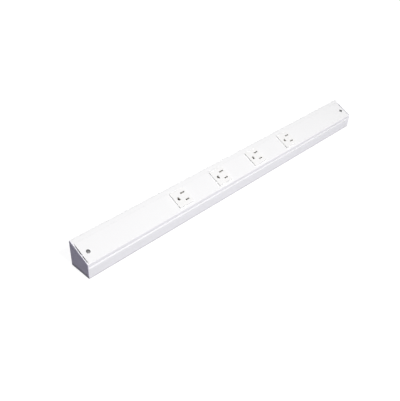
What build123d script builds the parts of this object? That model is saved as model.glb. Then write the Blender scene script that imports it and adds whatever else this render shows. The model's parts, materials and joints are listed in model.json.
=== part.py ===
from build123d import *
import math
import os

os.makedirs("parts", exist_ok=True)

# An angle power strip: a long wedge-shaped aluminium channel with four three-pin outlets on its
# sloped face. X runs along the strip, Y from its low front wall to its tall rear wall, +Z up from
# the flat base. The origin is under the middle of the base. All sizes are in millimetres.

# Overall section; the heights are where the slope would meet the two walls unrounded
strip_length = 609.6
strip_depth = 38.1
rear_height = 43.2
front_height = 24.4
wall = 1.6
base_corner = 0.9
front_corner = 1.3
rear_corner = 1.5
inner_corner = 0.8

# Shadow groove along the front wall; its lower side slopes up and inwards at 45 degrees
groove_bottom = 16.0
groove_top = 19.4
groove_depth = 1.6

# Rear lip, which curves down from the slope to meet the rear wall
rear_lip_bend = 36.3
rear_lip_drop = 0.8

# Face plate that closes the channel, lying flush between the front lip and the rear lip
plate_thickness = 1.6
plate_front_edge = 1.1
plate_rear_edge = 33.8
plate_front_gap = 0.05
plate_rear_gap = 0.05
plate_end_gap = 1.3
plate_edge = 0.15
ledge_thickness = 1.4

# Screw rail inside the channel, along the foot of the rear wall
rail_width = 9.2
rail_height = 3.0

# End caps
cap_flange = 1.35
cap_edge = 0.7
cap_wall = 1.6
cap_fit = 0.15
cap_spigot = 9.0
cap_web = 2.0
boss_diameter = 8.0
boss_depth = 14.0

# Cover screws, one near each end
screw_from_end = 11.9
screw_up_slope = 15.5
screw_head_diameter = 5.8
screw_head_height = 1.7
screw_head_rim = 0.6
screw_diameter = 3.0
screw_length = 12.0
screw_tip = 1.2
screw_recess = 3.2
screw_recess_width = 0.8
screw_recess_depth = 1.0
screw_recess_taper = 8.0
screw_hole_clearance = 0.4
pilot_clearance = 0.1

# Outlets: how many, how far apart, and where they lie on the slope
outlet_count = 4
outlet_pitch = 83.85
outlet_up_slope = 17.6

# Outlet face, moulded in one piece with the neck that snaps through the plate
tile_length = 28.0
tile_width = 26.8
tile_proud = 2.0
tile_corner = 1.2
tile_edge = 0.5
neck_length = 24.6
neck_width = 25.2
neck_corner = 0.8
neck_fit = 0.2
neck_below_plate = 2.0
neck_front_room = 0.7
neck_rear_room = 0.4
lug_proud = 0.8
lug_width = 10.0
lug_gap = 0.05

# Pin pattern of a grounded fifteen-ampere outlet
blade_spacing = 12.7
ground_offset = 11.89
slot_width = 2.1
hot_slot_length = 7.0
neutral_slot_length = 8.4
ground_hole_width = 5.2
ground_hole_flat = 1.5

# Outlet rear body, with a spigot on top that centres it in the face
body_depth = 24.0
body_wall_clearance = 0.5
spigot_inset = 2.0
spigot_height = 1.0
spigot_fit = 0.1

# Formed brass contacts
contact_stock = 0.7
contact_top = 3.0
contact_fit = 0.15
clip_width = 6.4
clip_mouth = 1.9
clip_pinch = 0.95
clip_pinch_depth = 3.0
clip_back = 1.35
clip_back_depth = 7.0
clip_bottom = 18.4
clip_bend = 0.5
ground_pin_diameter = 4.9
ground_slit = 1.2
ground_bottom = 20.2
fork_leg = 0.9
fork_fit = 0.05
fork_end = 0.1

# Wires that run through the backs of all the outlets
wire_diameter = 2.9
wire_fit = 0.1
wire_depth = 22.4
wire_lead = 68.0
core_diameter = 1.6
core_length = 10.0

# Ground connection on the screw rail
ground_screw_to_outlet = 74.2
ground_screw_diameter = 4.0
ground_screw_flats = 7.0
ground_screw_head = 2.6
ground_screw_flange_diameter = 8.2
ground_screw_flange = 0.8
ground_screw_end = 0.4
ring_thickness = 0.8
ring_diameter = 8.0
barrel_diameter = 4.4
barrel_length = 7.0
barrel_reach = 5.0
tongue_width = 3.6
barrel_grip = 6.0
ground_straight = 10.0
ground_bend = 30.0

# Fixing holes in the base, and scored knockouts for the supply cable
fixing_spacing = 381.0
fixing_hole_diameter = 4.8
fixing_hole_y = -2.0
knockout_from_end = 60.0
knockout_diameter = 22.2
knockout_slot = 0.5
knockout_tab = 2.6
knockout_height = 21.0

# Places that follow from the sizes above
front_y = -strip_depth / 2
rear_y = strip_depth / 2
inner_front_y = front_y + wall
inner_rear_y = rear_y - wall
slope = math.atan2(rear_height - front_height, strip_depth)
slope_normal = (0, -math.sin(slope), math.cos(slope))
slope_up = (0, math.cos(slope), math.sin(slope))
end_x = strip_length / 2
housing_length = strip_length - 2 * cap_flange
plate_length = housing_length - 2 * plate_end_gap
roof_depth = plate_thickness + ledge_thickness
mouth_front = outlet_up_slope - neck_width / 2 - neck_front_room
mouth_rear = outlet_up_slope + neck_width / 2 + neck_rear_room
neck_depth = plate_thickness + neck_below_plate
rail_y = inner_rear_y - rail_width
rail_top = wall + rail_height
wire_groove = wire_diameter / 2 + wire_fit
ring_wall_radius = ground_pin_diameter / 2 + contact_stock
fork_half_width = wire_diameter / 2 + fork_fit + fork_leg
outlet_xs = [(number - (outlet_count - 1) / 2) * outlet_pitch for number in range(outlet_count)]
ground_screw_x = outlet_xs[0] - ground_screw_to_outlet
ground_screw_y = rail_y + rail_width / 2


def slope_point(up_slope, outward):
    """A point of the section, as (Y, Z), from its distance up the slope and out of it."""
    y = front_y + up_slope * math.cos(slope) - outward * math.sin(slope)
    z = front_height + up_slope * math.sin(slope) + outward * math.cos(slope)
    return (y, z)


def slope_face(outward):
    """A plane parallel to the sloped face, with X along the strip and Y up the slope."""
    return Plane((0, front_y, front_height), x_dir=(1, 0, 0), z_dir=slope_normal).offset(outward)


def slope_section(x):
    """A cross-section plane, with X up the slope and Y straight out of it."""
    return Plane((x, front_y, front_height), x_dir=slope_up, z_dir=(1, 0, 0))


def slope_side(up_slope):
    """A lengthwise plane square to the slope, with X along the strip and Y straight out."""
    y, z = slope_point(up_slope, 0)
    down_slope = (0, -math.cos(slope), -math.sin(slope))
    return Plane((0, y, z), x_dir=(1, 0, 0), z_dir=down_slope)


def roof_z(y, depth):
    """Height at a given Y of the line that runs parallel to the slope at a depth under it."""
    return front_height + (y - front_y) * math.tan(slope) - depth / math.cos(slope)


# Outside of the section, the same for the channel and for the flange of each end cap
with BuildSketch() as outside:
    lip_bend = slope_point(rear_lip_bend, 0)
    lip_end = (rear_y, rear_height - rear_lip_drop)
    with BuildLine():
        Polyline(lip_end, (rear_y, 0), (front_y, 0), (front_y, front_height), lip_bend)
        TangentArc(lip_bend, lip_end, tangent=(math.cos(slope), math.sin(slope)))
    make_face()
    fillet(outside.vertices().group_by(Axis.Y)[0].sort_by(Axis.X), base_corner)
    fillet(outside.vertices().sort_by_distance((front_y, front_height))[:1], front_corner)
    fillet(outside.vertices().sort_by_distance(lip_end)[:1], rear_corner)

# Space inside the channel, which steps in behind the groove and over the screw rail
with BuildSketch() as cavity:
    groove_back = front_y + groove_depth
    step_y = groove_back + wall
    step_foot = groove_bottom - wall * math.tan(math.pi / 8)
    step_top = step_foot + groove_depth
    Polygon(
        (inner_front_y, wall),
        (rail_y, wall),
        (rail_y, rail_top),
        (inner_rear_y, rail_top),
        (inner_rear_y, roof_z(inner_rear_y, roof_depth)),
        (step_y, roof_z(step_y, roof_depth)),
        (step_y, step_top),
        (inner_front_y, step_foot),
    )
    fillet(cavity.vertices().sort_by_distance((inner_front_y, wall))[:1], inner_corner)


# Housing: an extruded channel with a grooved front wall, and a lip and a ledge at front and rear;
# the mouth between the ledges lets the outlets' necks and bodies through
with BuildPart() as housing:
    with BuildSketch(Plane.YZ.offset(-housing_length / 2)):
        add(outside.sketch)
        Polygon(
            (front_y, groove_bottom),
            (groove_back, groove_bottom + groove_depth),
            (groove_back, groove_top),
            (front_y, groove_top),
            mode=Mode.SUBTRACT,
        )
        add(cavity.sketch, mode=Mode.SUBTRACT)
    extrude(amount=housing_length)
    with BuildSketch(slope_section(-housing_length / 2)):
        seat_front = plate_front_edge - plate_front_gap
        seat_rear = plate_rear_edge + plate_rear_gap
        with Locations((seat_front, -plate_thickness)):
            Rectangle(seat_rear - seat_front, roof_depth, align=(Align.MIN, Align.MIN))
        with Locations((mouth_front, -roof_depth - ledge_thickness)):
            Rectangle(mouth_rear - mouth_front, 2 * roof_depth, align=(Align.MIN, Align.MIN))
    extrude(amount=housing_length, mode=Mode.SUBTRACT)
    with Locations(*[(side * fixing_spacing / 2, fixing_hole_y, wall) for side in (-1, 1)]):
        Hole(fixing_hole_diameter / 2, depth=wall)
    with Locations((ground_screw_x, ground_screw_y, rail_top)):
        Hole((ground_screw_diameter + pilot_clearance) / 2, depth=rail_top)
    knockout_x = -end_x + knockout_from_end
    base_knockout = Plane((knockout_x, 0, 0))
    rear_knockout = Plane((knockout_x, rear_y, knockout_height), z_dir=(0, -1, 0))
    for knockout_face in (base_knockout, rear_knockout):
        with BuildSketch(knockout_face):
            Circle(knockout_diameter / 2)
            Circle(knockout_diameter / 2 - knockout_slot, mode=Mode.SUBTRACT)
            Rectangle(knockout_tab, 2 * knockout_diameter, mode=Mode.SUBTRACT)
        extrude(amount=wall, mode=Mode.SUBTRACT)
housing.part.label = "housing"
export_step(housing.part, "parts/housing.step")


# Face plate: a flat strip with a window for each outlet and a hole for each cover screw
screw_xs = (-end_x + screw_from_end, end_x - screw_from_end)
with BuildPart() as face_plate:
    with BuildSketch(slope_face(-plate_thickness)):
        with Locations((0, (plate_front_edge + plate_rear_edge) / 2)):
            Rectangle(plate_length, plate_rear_edge - plate_front_edge)
        with Locations(*[(x, outlet_up_slope) for x in outlet_xs]):
            window = (neck_length + 2 * neck_fit, neck_width + 2 * neck_fit)
            RectangleRounded(*window, neck_corner + neck_fit, mode=Mode.SUBTRACT)
        with Locations(*[(x, screw_up_slope) for x in screw_xs]):
            Circle((screw_diameter + screw_hole_clearance) / 2, mode=Mode.SUBTRACT)
    extrude(amount=plate_thickness)
    top = face_plate.faces().sort_by(Axis((0, 0, 0), slope_normal))[-1]
    fillet(top.outer_wire().edges(), plate_edge)
face_plate.part.label = "face_plate"
export_step(face_plate.part, "parts/face_plate.step")


# End caps: a flange over the end of the channel, a spigot inside it that is open under the plate,
# and a boss for the screw
with BuildPart() as end_cap_left:
    with BuildSketch(Plane.YZ.offset(-end_x)):
        add(outside.sketch)
    extrude(amount=cap_flange)
    fillet(end_cap_left.faces().sort_by(Axis.X)[0].edges(), cap_edge)
    with BuildSketch(Plane.YZ.offset(-end_x + cap_flange)):
        add(cavity.sketch)
        offset(amount=-cap_fit, kind=Kind.INTERSECTION)
        offset(amount=-cap_wall, kind=Kind.INTERSECTION, mode=Mode.SUBTRACT)
    extrude(amount=cap_spigot)
    with BuildSketch(slope_section(-end_x + cap_flange)):
        with Locations((mouth_front, -roof_depth)):
            Rectangle(mouth_rear - mouth_front, cap_fit + cap_wall, align=(Align.MIN, Align.MAX))
    extrude(amount=cap_spigot, mode=Mode.SUBTRACT)
    with BuildSketch(slope_face(-plate_thickness)):
        with Locations((screw_xs[0], screw_up_slope)):
            Circle(boss_diameter / 2)
            web_length = screw_from_end - cap_flange
            Rectangle(web_length, cap_web, align=(Align.MAX, Align.CENTER))
    extrude(amount=-boss_depth)
    with Locations(slope_face(-plate_thickness)):
        with Locations((screw_xs[0], screw_up_slope)):
            Hole((screw_diameter + pilot_clearance) / 2, depth=screw_length)
end_cap_left.part.label = "end_cap_left"
export_step(end_cap_left.part, "parts/end_cap_left.step")

with BuildPart() as end_cap_right:
    mirror(end_cap_left.part, about=Plane.YZ)
end_cap_right.part.label = "end_cap_right"
export_step(end_cap_right.part, "parts/end_cap_right.step")


# Cover screws: pan heads with a cross recess, threads left plain
for name, x in zip(("cover_screw_left", "cover_screw_right"), screw_xs):
    with BuildPart() as cover_screw:
        with BuildSketch(slope_section(x)):
            with BuildLine():
                head_edge = (screw_up_slope + screw_head_diameter / 2, screw_head_rim)
                head_crown = (screw_up_slope, screw_head_height)
                shank_edge = screw_up_slope + screw_diameter / 2
                Polyline(
                    head_crown,
                    (screw_up_slope, -screw_length),
                    (screw_up_slope + screw_diameter / 4, -screw_length),
                    (shank_edge, -screw_length + screw_tip),
                    (shank_edge, 0),
                    (screw_up_slope + screw_head_diameter / 2, 0),
                    head_edge,
                )
                TangentArc(head_crown, head_edge, tangent=(1, 0))
            make_face()
        y, z = slope_point(screw_up_slope, 0)
        revolve(axis=Axis((x, y, z), slope_normal))
        with BuildSketch(slope_face(screw_head_height)):
            with Locations((x, screw_up_slope)):
                Rectangle(screw_recess, screw_recess_width)
                Rectangle(screw_recess_width, screw_recess)
        extrude(amount=-screw_recess_depth, taper=screw_recess_taper, mode=Mode.SUBTRACT)
    cover_screw.part.label = name
    export_step(cover_screw.part, f"parts/{name}.step")


def pin_places(x):
    """Where an outlet's hot, neutral and ground openings lie, as (X, distance up the slope)."""
    blades_x = x + ground_offset / 2
    hot = (blades_x, outlet_up_slope - blade_spacing / 2)
    neutral = (blades_x, outlet_up_slope + blade_spacing / 2)
    ground = (x - ground_offset / 2, outlet_up_slope)
    return hot, neutral, ground


# Outlet faces: a square tile, its neck with two snap lugs, and the three openings
for number, x in enumerate(outlet_xs, start=1):
    hot, neutral, ground = pin_places(x)
    with BuildPart() as outlet_face:
        with BuildSketch(slope_face(0)):
            with Locations((x, outlet_up_slope)):
                RectangleRounded(tile_length, tile_width, tile_corner)
        extrude(amount=tile_proud)
        fillet(outlet_face.faces().sort_by(Axis((0, 0, 0), slope_normal))[-1].edges(), tile_edge)
        with BuildSketch(slope_face(0)):
            with Locations((x, outlet_up_slope)):
                RectangleRounded(neck_length, neck_width, neck_corner)
        extrude(amount=-neck_depth)
        with BuildSketch(slope_side(outlet_up_slope)):
            lug_top = -plate_thickness - lug_gap
            for side in (-1, 1):
                lug_x = x + side * neck_length / 2
                Polygon((lug_x, lug_top), (lug_x + side * lug_proud, lug_top), (lug_x, -neck_depth))
        extrude(amount=lug_width / 2, both=True)
        with BuildSketch(slope_face(-neck_depth)):
            with Locations((x, outlet_up_slope)):
                recess_inset = 2 * (spigot_inset - spigot_fit)
                RectangleRounded(neck_length - recess_inset, neck_width - recess_inset, neck_corner)
        extrude(amount=spigot_height + spigot_fit, mode=Mode.SUBTRACT)
        with BuildSketch(slope_face(tile_proud)):
            with Locations(hot):
                Rectangle(hot_slot_length, slot_width)
            with Locations(neutral):
                Rectangle(neutral_slot_length, slot_width)
            with Locations(ground):
                Rectangle(ground_hole_flat, ground_hole_width, align=(Align.MIN, Align.CENTER))
            with BuildLine():
                ground_x, ground_up_slope = ground
                radius = ground_hole_width / 2
                upper, lower = (ground_x, ground_up_slope + radius), (ground_x, ground_up_slope - radius)
                Line(lower, upper)
                ThreePointArc(upper, (ground_x - radius, ground_up_slope), lower)
            make_face()
        extrude(amount=-tile_proud - neck_depth, mode=Mode.SUBTRACT)
    outlet_face.part.label = f"outlet_face_{number}"
    export_step(outlet_face.part, f"parts/outlet_face_{number}.step")


# Outlet bodies: blocks under the necks with a pocket for each contact and a groove for each wire
for number, x in enumerate(outlet_xs, start=1):
    pins = pin_places(x)
    pocket_length = clip_width + 2 * contact_fit
    pocket_width = 2 * (clip_mouth + contact_fit) + contact_stock
    tail_slit = contact_stock + 2 * contact_fit
    with BuildPart() as outlet_body:
        with BuildSketch(slope_face(-neck_depth)):
            with Locations((x, outlet_up_slope)):
                RectangleRounded(neck_length, neck_width, neck_corner)
        extrude(amount=neck_depth - body_depth)
        with BuildSketch(slope_face(-neck_depth)):
            with Locations((x, outlet_up_slope)):
                inset = 2 * spigot_inset
                RectangleRounded(neck_length - inset, neck_width - inset, neck_corner)
        extrude(amount=spigot_height)
        rear_limit = Plane((0, inner_rear_y - body_wall_clearance, 0), z_dir=(0, 1, 0))
        split(bisect_by=rear_limit, keep=Keep.BOTTOM)
        with BuildSketch(slope_face(-clip_bottom)):
            with Locations(*pins[:2]):
                Rectangle(pocket_length, pocket_width)
        extrude(amount=clip_bottom, mode=Mode.SUBTRACT)
        with BuildSketch(slope_face(-ground_bottom)):
            with Locations(pins[2]):
                Circle(ring_wall_radius + contact_fit)
        extrude(amount=ground_bottom, mode=Mode.SUBTRACT)
        with BuildSketch(slope_face(-body_depth)):
            with Locations(*pins[:2]):
                Rectangle(tail_slit, 2 * (fork_half_width + contact_fit))
            with Locations(pins[2]):
                Rectangle(tail_slit, 2 * (ring_wall_radius + contact_fit))
        extrude(amount=body_depth - clip_bottom, mode=Mode.SUBTRACT)
        with BuildSketch(slope_section(x - neck_length / 2)):
            with Locations(*[(up_slope, -wire_depth) for _, up_slope in pins]):
                Circle(wire_groove)
                Rectangle(2 * wire_groove, body_depth - wire_depth, align=(Align.CENTER, Align.MAX))
        extrude(amount=neck_length, mode=Mode.SUBTRACT)
    outlet_body.part.label = f"outlet_body_{number}"
    export_step(outlet_body.part, f"parts/outlet_body_{number}.step")


def fork(up_slope, half_width, top):
    """Sketch of a contact's tail: a flat plate slotted to straddle its wire."""
    with Locations((up_slope, -top)):
        tail = wire_depth + wire_diameter / 2 + fork_end - top
        Rectangle(2 * half_width, tail, align=(Align.CENTER, Align.MAX))
    with Locations((up_slope, -wire_depth)):
        slot = wire_diameter / 2 + fork_fit
        Circle(slot, mode=Mode.SUBTRACT)
        Rectangle(2 * slot, wire_diameter, align=(Align.CENTER, Align.MAX), mode=Mode.SUBTRACT)


# Blade contacts: strip folded into a spring clip that pinches near its mouth, with a fork below
for number, x in enumerate(outlet_xs, start=1):
    for pole, (pin_x, pin_up_slope) in zip(("hot", "neutral"), pin_places(x)):
        floor = contact_stock / 2 - clip_bottom
        leaf = (
            (clip_mouth, -contact_top),
            (clip_pinch, -contact_top - clip_pinch_depth),
            (clip_back, -contact_top - clip_back_depth),
            (clip_back, floor),
        )
        left = [(pin_up_slope - across, depth) for across, depth in leaf]
        right = [(pin_up_slope + across, depth) for across, depth in reversed(leaf)]
        with BuildPart() as blade_contact:
            with BuildSketch(slope_section(pin_x - clip_width / 2)):
                with BuildLine():
                    FilletPolyline(*left, *right, radius=clip_bend)
                trace(line_width=contact_stock)
            extrude(amount=clip_width)
            with BuildSketch(slope_section(pin_x - contact_stock / 2)):
                fork(pin_up_slope, fork_half_width, clip_bottom - contact_stock / 2)
            extrude(amount=contact_stock)
        blade_contact.part.label = f"{pole}_contact_{number}"
        export_step(blade_contact.part, f"parts/{pole}_contact_{number}.step")


# Ground contacts: a slit sleeve around the round pin, with a fork below
for number, x in enumerate(outlet_xs, start=1):
    pin_x, pin_up_slope = pin_places(x)[2]
    with BuildPart() as ground_contact:
        with BuildSketch(slope_face(-ground_bottom)):
            with Locations((pin_x, pin_up_slope)):
                Circle(ring_wall_radius)
                Circle(ground_pin_diameter / 2, mode=Mode.SUBTRACT)
                slit_start = (Align.MIN, Align.CENTER)
                Rectangle(ring_wall_radius, ground_slit, align=slit_start, mode=Mode.SUBTRACT)
        extrude(amount=ground_bottom - contact_top)
        with BuildSketch(slope_section(pin_x - contact_stock / 2)):
            fork(pin_up_slope, ring_wall_radius - contact_fit, ground_bottom - contact_stock / 2)
        extrude(amount=contact_stock)
    ground_contact.part.label = f"ground_contact_{number}"
    export_step(ground_contact.part, f"parts/ground_contact_{number}.step")


# Supply wires: stranded leads that pass through all four outlets and end stripped for the splice
wire_start_x = outlet_xs[0] - neck_length / 2 - wire_lead
wire_end_x = outlet_xs[-1] + neck_length / 2
for name, (_, up_slope) in zip(("hot_wire", "neutral_wire"), pin_places(0)):
    with BuildPart() as supply_wire:
        with BuildSketch(slope_section(wire_start_x)):
            with Locations((up_slope, -wire_depth)):
                Circle(wire_diameter / 2)
        extrude(amount=wire_end_x - wire_start_x)
        with BuildSketch(slope_section(wire_start_x)):
            with Locations((up_slope, -wire_depth)):
                Circle(core_diameter / 2)
        extrude(amount=-core_length)
    supply_wire.part.label = name
    export_step(supply_wire.part, f"parts/{name}.step")


# Ground wire: the same run, then a gentle bend down into the terminal on the screw rail
barrel_x = ground_screw_x + barrel_reach
barrel_z = rail_top + barrel_diameter / 2
run_y, run_z = slope_point(outlet_up_slope, -wire_depth)
with BuildPart() as ground_wire:
    with BuildLine() as ground_route:
        FilletPolyline(
            (wire_end_x, run_y, run_z),
            (outlet_xs[0] - neck_length / 2 - ground_straight, run_y, run_z),
            (barrel_x + barrel_length + ground_straight, ground_screw_y, barrel_z),
            (barrel_x + barrel_length - barrel_grip, ground_screw_y, barrel_z),
            radius=ground_bend,
        )
    with BuildSketch(Plane(ground_route.line @ 0, z_dir=ground_route.line % 0)):
        Circle(wire_diameter / 2)
    sweep()
ground_wire.part.label = "ground_wire"
export_step(ground_wire.part, "parts/ground_wire.step")


# Ground terminal: a ring tongue under the screw, rolled into a barrel around the wire
with BuildPart() as ground_terminal:
    with BuildSketch(Plane.XY.offset(rail_top)):
        with Locations((ground_screw_x, ground_screw_y)):
            Circle(ring_diameter / 2)
            tongue = barrel_reach + ring_thickness
            Rectangle(tongue, tongue_width, align=(Align.MIN, Align.CENTER))
            Circle((ground_screw_diameter + pilot_clearance) / 2, mode=Mode.SUBTRACT)
    extrude(amount=ring_thickness)
    with BuildSketch(Plane.YZ.offset(barrel_x)):
        with Locations((ground_screw_y, barrel_z)):
            Circle(barrel_diameter / 2)
    extrude(amount=barrel_length)
    with BuildSketch(Plane.YZ.offset(barrel_x)):
        with Locations((ground_screw_y, barrel_z)):
            Circle(wire_diameter / 2 + wire_fit)
    extrude(amount=barrel_length, mode=Mode.SUBTRACT)
ground_terminal.part.label = "ground_terminal"
export_step(ground_terminal.part, "parts/ground_terminal.step")


# Ground screw: a slotted hexagon head with a flange, tapped into the screw rail
with BuildPart() as ground_screw:
    head_z = rail_top + ring_thickness
    with BuildSketch(Plane.XY.offset(head_z)):
        with Locations((ground_screw_x, ground_screw_y)):
            Circle(ground_screw_flange_diameter / 2)
    extrude(amount=ground_screw_flange)
    with BuildSketch(Plane.XY.offset(head_z)):
        with Locations((ground_screw_x, ground_screw_y)):
            RegularPolygon(ground_screw_flats / 2, 6, major_radius=False)
    extrude(amount=ground_screw_head)
    with BuildSketch(Plane.XY.offset(head_z)):
        with Locations((ground_screw_x, ground_screw_y)):
            Circle(ground_screw_diameter / 2)
    extrude(amount=ground_screw_end - head_z)
    with BuildSketch(Plane.XY.offset(head_z + ground_screw_head)):
        with Locations((ground_screw_x, ground_screw_y)):
            Rectangle(ground_screw_flange_diameter, screw_recess_width)
    extrude(amount=-screw_recess_depth, mode=Mode.SUBTRACT)
ground_screw.part.label = "ground_screw"
export_step(ground_screw.part, "parts/ground_screw.step")
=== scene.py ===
import json
import math

import bpy
from mathutils import Matrix, Vector


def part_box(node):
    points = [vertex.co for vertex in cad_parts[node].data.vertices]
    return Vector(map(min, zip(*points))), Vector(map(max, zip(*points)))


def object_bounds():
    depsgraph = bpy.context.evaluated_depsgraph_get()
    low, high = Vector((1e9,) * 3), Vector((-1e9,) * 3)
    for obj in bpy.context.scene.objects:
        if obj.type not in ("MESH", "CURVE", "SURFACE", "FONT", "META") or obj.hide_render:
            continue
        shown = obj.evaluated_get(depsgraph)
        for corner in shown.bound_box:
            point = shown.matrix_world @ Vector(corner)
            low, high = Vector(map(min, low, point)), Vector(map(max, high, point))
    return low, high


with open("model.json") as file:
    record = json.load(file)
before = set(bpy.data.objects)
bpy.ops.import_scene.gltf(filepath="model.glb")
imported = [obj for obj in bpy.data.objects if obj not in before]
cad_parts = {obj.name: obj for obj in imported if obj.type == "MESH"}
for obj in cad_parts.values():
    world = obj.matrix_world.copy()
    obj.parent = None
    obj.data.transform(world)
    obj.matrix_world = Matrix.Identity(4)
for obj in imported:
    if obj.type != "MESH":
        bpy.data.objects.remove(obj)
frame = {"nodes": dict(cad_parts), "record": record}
cad_box = [list(corner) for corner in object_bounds()]
nodes = frame["nodes"]


# Housing and face plate
# The channel is extruded aluminium and the plate that closes its slope is rolled strip. Both are
# powder coated white after cutting, so faint lengthwise draw lines show through the fine grain. The
# front groove and the walls' feet are darkened with painted shade.
def principled(name, color, roughness, metallic=0.0):
    """A new material with one Principled shader, given with its node tree and that shader."""
    material = bpy.data.materials.new(name)
    material.use_nodes = True
    tree = material.node_tree
    shader = tree.nodes["Principled BSDF"]
    shader.inputs["Base Color"].default_value = (*color, 1.0)
    shader.inputs["Roughness"].default_value = roughness
    shader.inputs["Metallic"].default_value = metallic
    return material, tree, shader


def add(tree, kind, **sockets):
    """A node of that kind with its named inputs set, or linked where the value is a socket."""
    node = tree.nodes.new(kind)
    for name, value in sockets.items():
        socket = node.inputs[name.replace("_", " ")]
        if isinstance(value, bpy.types.NodeSocket):
            tree.links.new(value, socket)
        else:
            socket.default_value = value
    return node


def feed(tree, shader, **sockets):
    """Links each socket to the shader's input of that name."""
    for name, socket in sockets.items():
        tree.links.new(socket, shader.inputs[name.replace("_", " ")])


def grain_group():
    """Fine grain with slow tonal drift: noise at Scale for the height, broad noise for the tone."""
    group = bpy.data.node_groups.new("Fine Grain", "ShaderNodeTree")
    sockets = group.interface
    for name, value in (("Scale", 900.0), ("Drift", 6.0)):
        sockets.new_socket(name, in_out="INPUT", socket_type="NodeSocketFloat").default_value = value
    sockets.new_socket("Vector", in_out="INPUT", socket_type="NodeSocketVector")
    for name in ("Height", "Tone"):
        sockets.new_socket(name, in_out="OUTPUT", socket_type="NodeSocketFloat")
    given = group.nodes.new("NodeGroupInput").outputs
    result = group.nodes.new("NodeGroupOutput").inputs
    fine = add(group, "ShaderNodeTexNoise", Vector=given["Vector"], Scale=given["Scale"], Detail=3.0)
    broad = add(group, "ShaderNodeTexNoise", Vector=given["Vector"], Scale=given["Drift"], Detail=2.0)
    group.links.new(fine.outputs["Fac"], result["Height"])
    group.links.new(broad.outputs["Fac"], result["Tone"])
    return group


fine_grain = grain_group()


def own_place(tree):
    """The piece's own coordinates, in metres."""
    return tree.nodes.new("ShaderNodeTexCoord").outputs["Object"]


def place_grain(tree, scale, drift, place):
    """The Fine Grain group in a material, as its height and its tone."""
    grain = tree.nodes.new("ShaderNodeGroup")
    grain.node_tree = fine_grain
    grain.inputs["Scale"].default_value = scale
    grain.inputs["Drift"].default_value = drift
    tree.links.new(place, grain.inputs["Vector"])
    return grain.outputs["Height"], grain.outputs["Tone"]


def between(tree, factor, low, high):
    """A factor from 0 to 1 carried to the range from low to high."""
    return add(tree, "ShaderNodeMapRange", Value=factor, To_Min=low, To_Max=high).outputs["Result"]


def tint(tree, factor, dark, light):
    """A colour between dark and light, by a factor from 0 to 1."""
    mix = tree.nodes.new("ShaderNodeMix")
    mix.data_type = "RGBA"
    tree.links.new(factor, mix.inputs["Factor"])
    mix.inputs["A"].default_value = (*dark, 1.0)
    mix.inputs["B"].default_value = (*light, 1.0)
    return mix.outputs["Result"]


def layer(tree, factor, under, color):
    """A colour over another colour's socket, showing where the factor is 1."""
    mix = tree.nodes.new("ShaderNodeMix")
    mix.data_type = "RGBA"
    tree.links.new(factor, mix.inputs["Factor"])
    tree.links.new(under, mix.inputs["A"])
    mix.inputs["B"].default_value = (*color, 1.0)
    return mix.outputs["Result"]


def maths(tree, operation, first, second=0.0):
    """One Math node on two sockets or numbers."""
    node = tree.nodes.new("ShaderNodeMath")
    node.operation = operation
    for socket, value in zip(node.inputs, (first, second)):
        if isinstance(value, bpy.types.NodeSocket):
            tree.links.new(value, socket)
        else:
            socket.default_value = value
    return node.outputs["Value"]


def size_of(tree, value):
    """A value without its sign."""
    return maths(tree, "ABSOLUTE", value)


def both(tree, first, second):
    """1 where two masks are 1."""
    return maths(tree, "MULTIPLY", first, second)


def below(tree, value, level, blend):
    """1 where a value is under a level, 0 where it is over the level and the blend."""
    ranged = add(tree, "ShaderNodeMapRange", Value=value, To_Min=1.0, To_Max=0.0)
    ranged.inputs["From Min"].default_value = level
    ranged.inputs["From Max"].default_value = level + blend
    return ranged.outputs["Result"]


def bump(tree, height, shader, depth, normal=None):
    """Relief of that depth in metres on the shader's normal, on top of another relief if given."""
    relief = add(tree, "ShaderNodeBump", Height=height, Distance=depth, Strength=1.0)
    if normal is not None:
        tree.links.new(normal, relief.inputs["Normal"])
    feed(tree, shader, Normal=relief.outputs["Normal"])
    return relief.outputs["Normal"]


def finish_with(material, *names):
    """Those CAD nodes take that material in every slot."""
    for name in names:
        for slot in nodes[name].material_slots:
            slot.material = material


enamel_light = (0.868, 0.867, 0.868)
enamel_dark = (0.848, 0.847, 0.849)
satin_specular = 0.3
streak_scale = (1.5, 420.0, 420.0)
# Painted shade for the front groove under the lip, greyer than the film.
groove_painted_shade = (0.77, 0.77, 0.775)
groove_foot = 0.0160
groove_head = 0.0178
groove_blend = 0.0003
groove_inner = -0.0173
# Painted shade along the foot of the front and rear walls.
foot_painted_shade = (0.42, 0.41, 0.43)
foot_height = 0.0012
foot_blend = 0.0005
foot_inside = 0.0181


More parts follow.
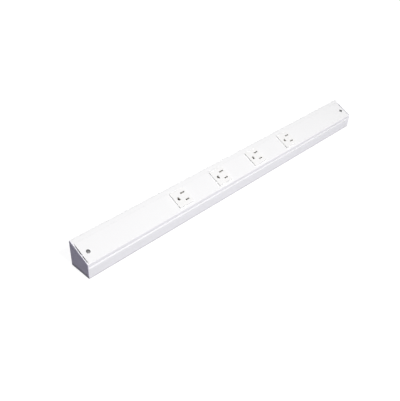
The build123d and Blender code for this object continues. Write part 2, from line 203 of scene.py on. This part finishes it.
def enamel(name, draw_depth):
    """White powder coat over drawn metal: fine grain, lengthwise streaks, painted shade in the groove
    and at the feet.
    """
    material, tree, shader = principled(name, enamel_light, 0.58)
    shader.inputs["Specular IOR Level"].default_value = satin_specular
    place = own_place(tree)
    height, tone = place_grain(tree, 1400.0, 7.0, place)
    film = tint(tree, tone, enamel_dark, enamel_light)
    parted = add(tree, "ShaderNodeSeparateXYZ", Vector=place).outputs

    # Painted shade: the front groove under the lip is greyed.
    in_front = maths(tree, "LESS_THAN", parted["Y"], groove_inner)
    over_wall = maths(tree, "GREATER_THAN", parted["Z"], groove_foot)
    under_lip = below(tree, parted["Z"], groove_head, groove_blend)
    in_groove = both(tree, both(tree, in_front, over_wall), under_lip)
    groove_shaded = layer(tree, in_groove, film, groove_painted_shade)

    # Painted shade: the lowest part of the outer walls is darkened.
    on_wall = maths(tree, "GREATER_THAN", size_of(tree, parted["Y"]), foot_inside)
    foot_shade_mask = both(tree, on_wall, below(tree, parted["Z"], foot_height, foot_blend))
    feed(tree, shader, Base_Color=layer(tree, foot_shade_mask, groove_shaded, foot_painted_shade))
    feed(tree, shader, Roughness=between(tree, tone, 0.52, 0.64))

    stretched = add(tree, "ShaderNodeMapping", Vector=place, Scale=streak_scale).outputs["Vector"]
    streaks = add(tree, "ShaderNodeTexNoise", Vector=stretched, Scale=1.0, Detail=2.0)
    drawn = bump(tree, streaks.outputs["Fac"], shader, draw_depth)
    bump(tree, height, shader, 0.000012, drawn)
    return material


finish_with(enamel("Housing Enamel", 0.00002), "housing")
finish_with(enamel("Plate Enamel", 0.000012), "face_plate")


# End caps
# Moulded in white plastic with a spark-eroded outer face, pushed into the ends of the channel and
# held there by the cover screws, which bite into a boss behind the plate. The outer face is darkened
# along its foot with painted shade.
cap_light = (0.87, 0.86, 0.92)
cap_dark = (0.84, 0.83, 0.89)
# Painted shade along the foot of each cap's outer face.
cap_foot_painted_shade = (0.42, 0.41, 0.45)
cap_foot_height = 0.002
cap_foot_blend = 0.0045
cap_end_skin = 0.0008

cap_material, tree, shader = principled("Cap Plastic", cap_light, 0.6)
shader.inputs["Specular IOR Level"].default_value = satin_specular
place = own_place(tree)
height, tone = place_grain(tree, 2600.0, 40.0, place)
parted = add(tree, "ShaderNodeSeparateXYZ", Vector=place).outputs
end_face = cad_box[1][0] - cap_end_skin
# Painted shade: the outer face is darkened towards its foot.
on_end = maths(tree, "GREATER_THAN", size_of(tree, parted["X"]), end_face)
foot_shade_mask = both(tree, on_end, below(tree, parted["Z"], cap_foot_height, cap_foot_blend))
film = tint(tree, tone, cap_dark, cap_light)
feed(tree, shader, Base_Color=layer(tree, foot_shade_mask, film, cap_foot_painted_shade))
feed(tree, shader, Roughness=between(tree, tone, 0.5, 0.6))
bump(tree, height, shader, 0.00003)
finish_with(cap_material, "end_cap_left", "end_cap_right")


# Cover screws
# Pan-head steel screws with a cross recess, nickel plated, one near each end of the plate. Their
# heads were turned, so the plating shows rings about each screw's own axis.
mounts = {mount["name"]: mount for mount in frame["record"]["mounts"]}
outlet_axis = mounts["outlet_1"]["axis"]
slope = math.atan2(-outlet_axis[1], outlet_axis[2])
steel_dark = (0.16, 0.16, 0.163)
steel_light = (0.22, 0.22, 0.223)
rings_per_metre = 40000.0


def on_slope(tree, place, centre):
    """Coordinates about a centre, turned so that Z stands straight out of the slope."""
    turned = add(tree, "ShaderNodeMapping", Vector=place, Location=centre, Rotation=(slope, 0.0, 0.0))
    turned.vector_type = "TEXTURE"
    return turned.outputs["Vector"]


def turned_steel(name, head):
    """Plated steel with rings about the axis of the screw whose head centre is given."""
    material, tree, shader = principled(name, (0.19, 0.19, 0.193), 0.5, 0.3)
    place = own_place(tree)
    local = add(tree, "ShaderNodeSeparateXYZ", Vector=on_slope(tree, place, head)).outputs
    flat = add(tree, "ShaderNodeCombineXYZ", X=local["X"], Y=local["Y"]).outputs["Vector"]
    distance = tree.nodes.new("ShaderNodeVectorMath")
    distance.operation = "LENGTH"
    tree.links.new(flat, distance.inputs[0])
    rings = maths(tree, "MULTIPLY", distance.outputs["Value"], rings_per_metre)
    bump(tree, maths(tree, "SINE", rings), shader, 0.000002)
    tone = place_grain(tree, 900.0, 500.0, place)[1]
    feed(tree, shader, Base_Color=tint(tree, tone, steel_dark, steel_light))
    feed(tree, shader, Roughness=between(tree, tone, 0.5, 0.62))
    return material


for side in ("left", "right"):
    low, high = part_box(f"cover_screw_{side}")
    middle = (low + high) / 2
    finish_with(turned_steel(f"Cover Screw Steel {side.title()}", middle), f"cover_screw_{side}")


# Outlets
# Each is a snap-in module: a glossy white face moulded with its three openings, and a duller
# glass-filled body behind the plate that holds the contacts and lets the supply wires through. A
# face's foot, on the sides up and down the slope, and the insides of its openings get painted shade.
face_light = (0.88, 0.875, 0.865)
face_dark = (0.845, 0.84, 0.83)
face_skin = 0.0006
face_skin_blend = 0.0005
openings_half = 0.013
# Painted shade for the insides of the openings.
bore_painted_shade = (0.62, 0.62, 0.59)
face_proud = 0.002
seam_height = 0.0006
seam_blend = 0.0002
# Painted shade for a dark seam line at the face's foot.
seam_painted_shade = (0.30, 0.30, 0.30)


def face_plastic(name, centre):
    """Glossy white over a tile whose top's centre is given, with painted shade below its skin and at
    its foot.
    """
    material, tree, shader = principled(name, (0.87, 0.865, 0.855), 0.27)
    place = own_place(tree)
    height, tone = place_grain(tree, 2200.0, 60.0, place)
    skin = tint(tree, tone, face_dark, face_light)
    local = add(tree, "ShaderNodeSeparateXYZ", Vector=on_slope(tree, place, centre)).outputs
    across_x = size_of(tree, local["X"])
    across_y = size_of(tree, local["Y"])

    # Painted shade: a seam line along the face's foot on the sides up and down the slope.
    front_or_rear = maths(tree, "GREATER_THAN", across_y, openings_half)
    near_plate = below(tree, local["Z"], seam_height - face_proud, seam_blend)
    seam_shaded = layer(tree, both(tree, front_or_rear, near_plate), skin, seam_painted_shade)

    # Painted shade: the insides of the openings, below the skin, are greyed.
    inner = maths(tree, "LESS_THAN", maths(tree, "MAXIMUM", across_x, across_y), openings_half)
    under_skin = below(tree, local["Z"], -face_skin - face_skin_blend, face_skin_blend)
    feed(tree, shader, Base_Color=layer(tree, both(tree, inner, under_skin), seam_shaded, bore_painted_shade))
    feed(tree, shader, Roughness=between(tree, tone, 0.24, 0.32))
    bump(tree, height, shader, 0.000006)
    return material


numbers = range(1, 5)
for number in numbers:
    plastic = face_plastic(f"Outlet Face Plastic {number}", mounts[f"outlet_{number}"]["pos_m"])
    finish_with(plastic, f"outlet_face_{number}")

body_material, tree, shader = principled("Outlet Body Plastic", (0.68, 0.68, 0.65), 0.5)
height, tone = place_grain(tree, 1800.0, 700.0, own_place(tree))
feed(tree, shader, Base_Color=tint(tree, tone, (0.62, 0.62, 0.59), (0.74, 0.74, 0.71)))
bump(tree, height, shader, 0.00002)
finish_with(body_material, *[f"outlet_body_{number}" for number in numbers])

brass, tree, shader = principled("Contact Brass", (0.78, 0.62, 0.34), 0.45, 1.0)
height, tone = place_grain(tree, 3000.0, 260.0, own_place(tree))
feed(tree, shader, Base_Color=tint(tree, tone, (0.66, 0.51, 0.27), (0.86, 0.70, 0.42)))
feed(tree, shader, Roughness=between(tree, tone, 0.55, 0.38))
bump(tree, height, shader, 0.000008)
for pole in ("hot", "neutral", "ground"):
    finish_with(brass, *[f"{pole}_contact_{number}" for number in numbers])


# Wires and ground connection
# Copper leads in black, white and green insulation, the first two stripped at the inlet end. The
# green one ends in a brass ring terminal under a green screw on the channel's rail.
lead_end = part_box("hot_wire")[0].x
bare_length = 0.010
bare_margin = 0.00001
copper = (0.75, 0.36, 0.22)


def insulation(name, color):
    """Smooth extruded insulation, with bare copper where the lead is stripped."""
    material, tree, shader = principled(name, color, 0.35)
    place = own_place(tree)
    along = add(tree, "ShaderNodeSeparateXYZ", Vector=place).outputs["X"]
    stripped = maths(tree, "LESS_THAN", along, lead_end + bare_length - bare_margin)
    feed(tree, shader, Base_Color=tint(tree, stripped, color, copper), Metallic=stripped)
    height, tone = place_grain(tree, 1500.0, 90.0, place)
    feed(tree, shader, Roughness=between(tree, tone, 0.3, 0.42))
    bump(tree, height, shader, 0.00001)
    return material


finish_with(insulation("Hot Insulation", (0.02, 0.02, 0.02)), "hot_wire")
finish_with(insulation("Neutral Insulation", (0.75, 0.75, 0.73)), "neutral_wire")
finish_with(insulation("Ground Insulation", (0.02, 0.16, 0.04)), "ground_wire")
finish_with(brass, "ground_terminal")

green, tree, shader = principled("Ground Screw Green", (0.02, 0.18, 0.05), 0.35, 0.4)
height, tone = place_grain(tree, 1200.0, 300.0, own_place(tree))
feed(tree, shader, Base_Color=tint(tree, tone, (0.015, 0.13, 0.04), (0.03, 0.22, 0.07)))
bump(tree, height, shader, 0.00001)
finish_with(green, "ground_screw")


# Studio
# A white floor that reads as pure white to the camera and in reflections but gives back little
# light, left open just under the strip so that its base can be seen from below. One soft lamp
# stands above and in front, a weaker one low behind, and a dim light comes from all around.
floor_half = 6.0
floor_rise = 0.0001
floor_overlap = 0.003
floor_bounce = (0.262, 0.249, 0.335)
floor_seen = (0.25, 0.25, 0.25)
floor_glow = (0.9, 0.9, 0.9)
light_from_left = (0.036, 0.0352, 0.042)
light_from_right = (0.26, 0.256, 0.275)
light_from_under = (0.75, 0.75, 0.75)
black = (0.0, 0.0, 0.0)
white = (1.0, 1.0, 1.0)


def ray_mask(tree):
    """1 on rays from the camera, a glossy surface or a clear one, else 0."""
    path = tree.nodes.new("ShaderNodeLightPath").outputs
    seen = maths(tree, "MAXIMUM", path["Is Camera Ray"], path["Is Glossy Ray"])
    return maths(tree, "MAXIMUM", seen, path["Is Transmission Ray"])


floor_mesh = bpy.data.meshes.new("floor")
opening = cad_box[1][0] - floor_overlap, cad_box[1][1] - floor_overlap
corners = []
for half_length, half_depth in ((floor_half, floor_half), opening):
    for x, y in ((-1, -1), (1, -1), (1, 1), (-1, 1)):
        corners.append((x * half_length, y * half_depth, floor_rise))
sides = [(n, (n + 1) % 4, (n + 1) % 4 + 4, n + 4) for n in range(4)]
floor_mesh.from_pydata(corners, [], sides)
floor = bpy.data.objects.new("floor", floor_mesh)
bpy.context.scene.collection.objects.link(floor)
floor_material, tree, shader = principled("Floor White", (0.22, 0.22, 0.22), 0.9)
seen = ray_mask(tree)
feed(tree, shader, Base_Color=tint(tree, seen, floor_bounce, floor_seen))
feed(tree, shader, Emission_Color=tint(tree, seen, black, floor_glow))
shader.inputs["Emission Strength"].default_value = 1.0
shader.inputs["Specular IOR Level"].default_value = 0.0
floor_mesh.materials.append(floor_material)

world = bpy.data.worlds.new("Studio")
world.use_nodes = True
bpy.context.scene.world = world
tree = world.node_tree
background = tree.nodes["Background"]
direction = tree.nodes.new("ShaderNodeTexCoord").outputs["Generated"]
toward = add(tree, "ShaderNodeSeparateXYZ", Vector=direction).outputs
across = add(tree, "ShaderNodeMapRange", Value=toward["X"], From_Min=-1.0, From_Max=1.0)
dim = tint(tree, across.outputs["Result"], light_from_left, light_from_right)
from_under = maths(tree, "LESS_THAN", toward["Z"], 0.0)
all_round = layer(tree, from_under, dim, light_from_under)
tree.links.new(layer(tree, ray_mask(tree), all_round, white), background.inputs["Color"])
background.inputs["Strength"].default_value = 1.0


def lamp(name, place, target, size, power, color):
    """A square area lamp at a place, aimed at a target."""
    data = bpy.data.lights.new(name, "AREA")
    data.size = size
    data.energy = power
    data.color = color
    thing = bpy.data.objects.new(name, data)
    aim = (Vector(target) - Vector(place)).to_track_quat("-Z", "Y")
    thing.matrix_world = Matrix.Translation(place) @ aim.to_matrix().to_4x4()
    bpy.context.scene.collection.objects.link(thing)


lamp("key", (-0.15, -1.27, 1.30), (0, 0, 0.03), 0.5, 32.6, (1.0, 1.0, 0.99))
lamp("back", (0.9, 1.3, 0.4), (0, 0, 0.02), 0.6, 16.0, white)


# Camera
# Placed where the photograph was taken from: above the front left corner, close enough that the
# near end is clearly larger than the far one, and rolled a little.
picture_width = 400
focal_pixels = 554.40
camera_place = Vector((-0.58546, -0.47181, 0.50127))
look = Vector((0.591631, 0.555285, -0.584492))
right = Vector((0.699030, -0.714514, 0.028759))
up = right.cross(look)
camera_data = bpy.data.cameras.new("camera")
camera_data.sensor_fit = "HORIZONTAL"
camera_data.sensor_width = 36.0
camera_data.lens = focal_pixels * camera_data.sensor_width / picture_width
camera_data.clip_start = 0.01
camera = bpy.data.objects.new("camera", camera_data)
turn = Matrix((right, up, -look)).transposed()
camera.matrix_world = Matrix.Translation(camera_place) @ turn.to_4x4()
bpy.context.scene.collection.objects.link(camera)
bpy.context.scene.camera = camera
bpy.context.scene.view_settings.view_transform = "Standard"
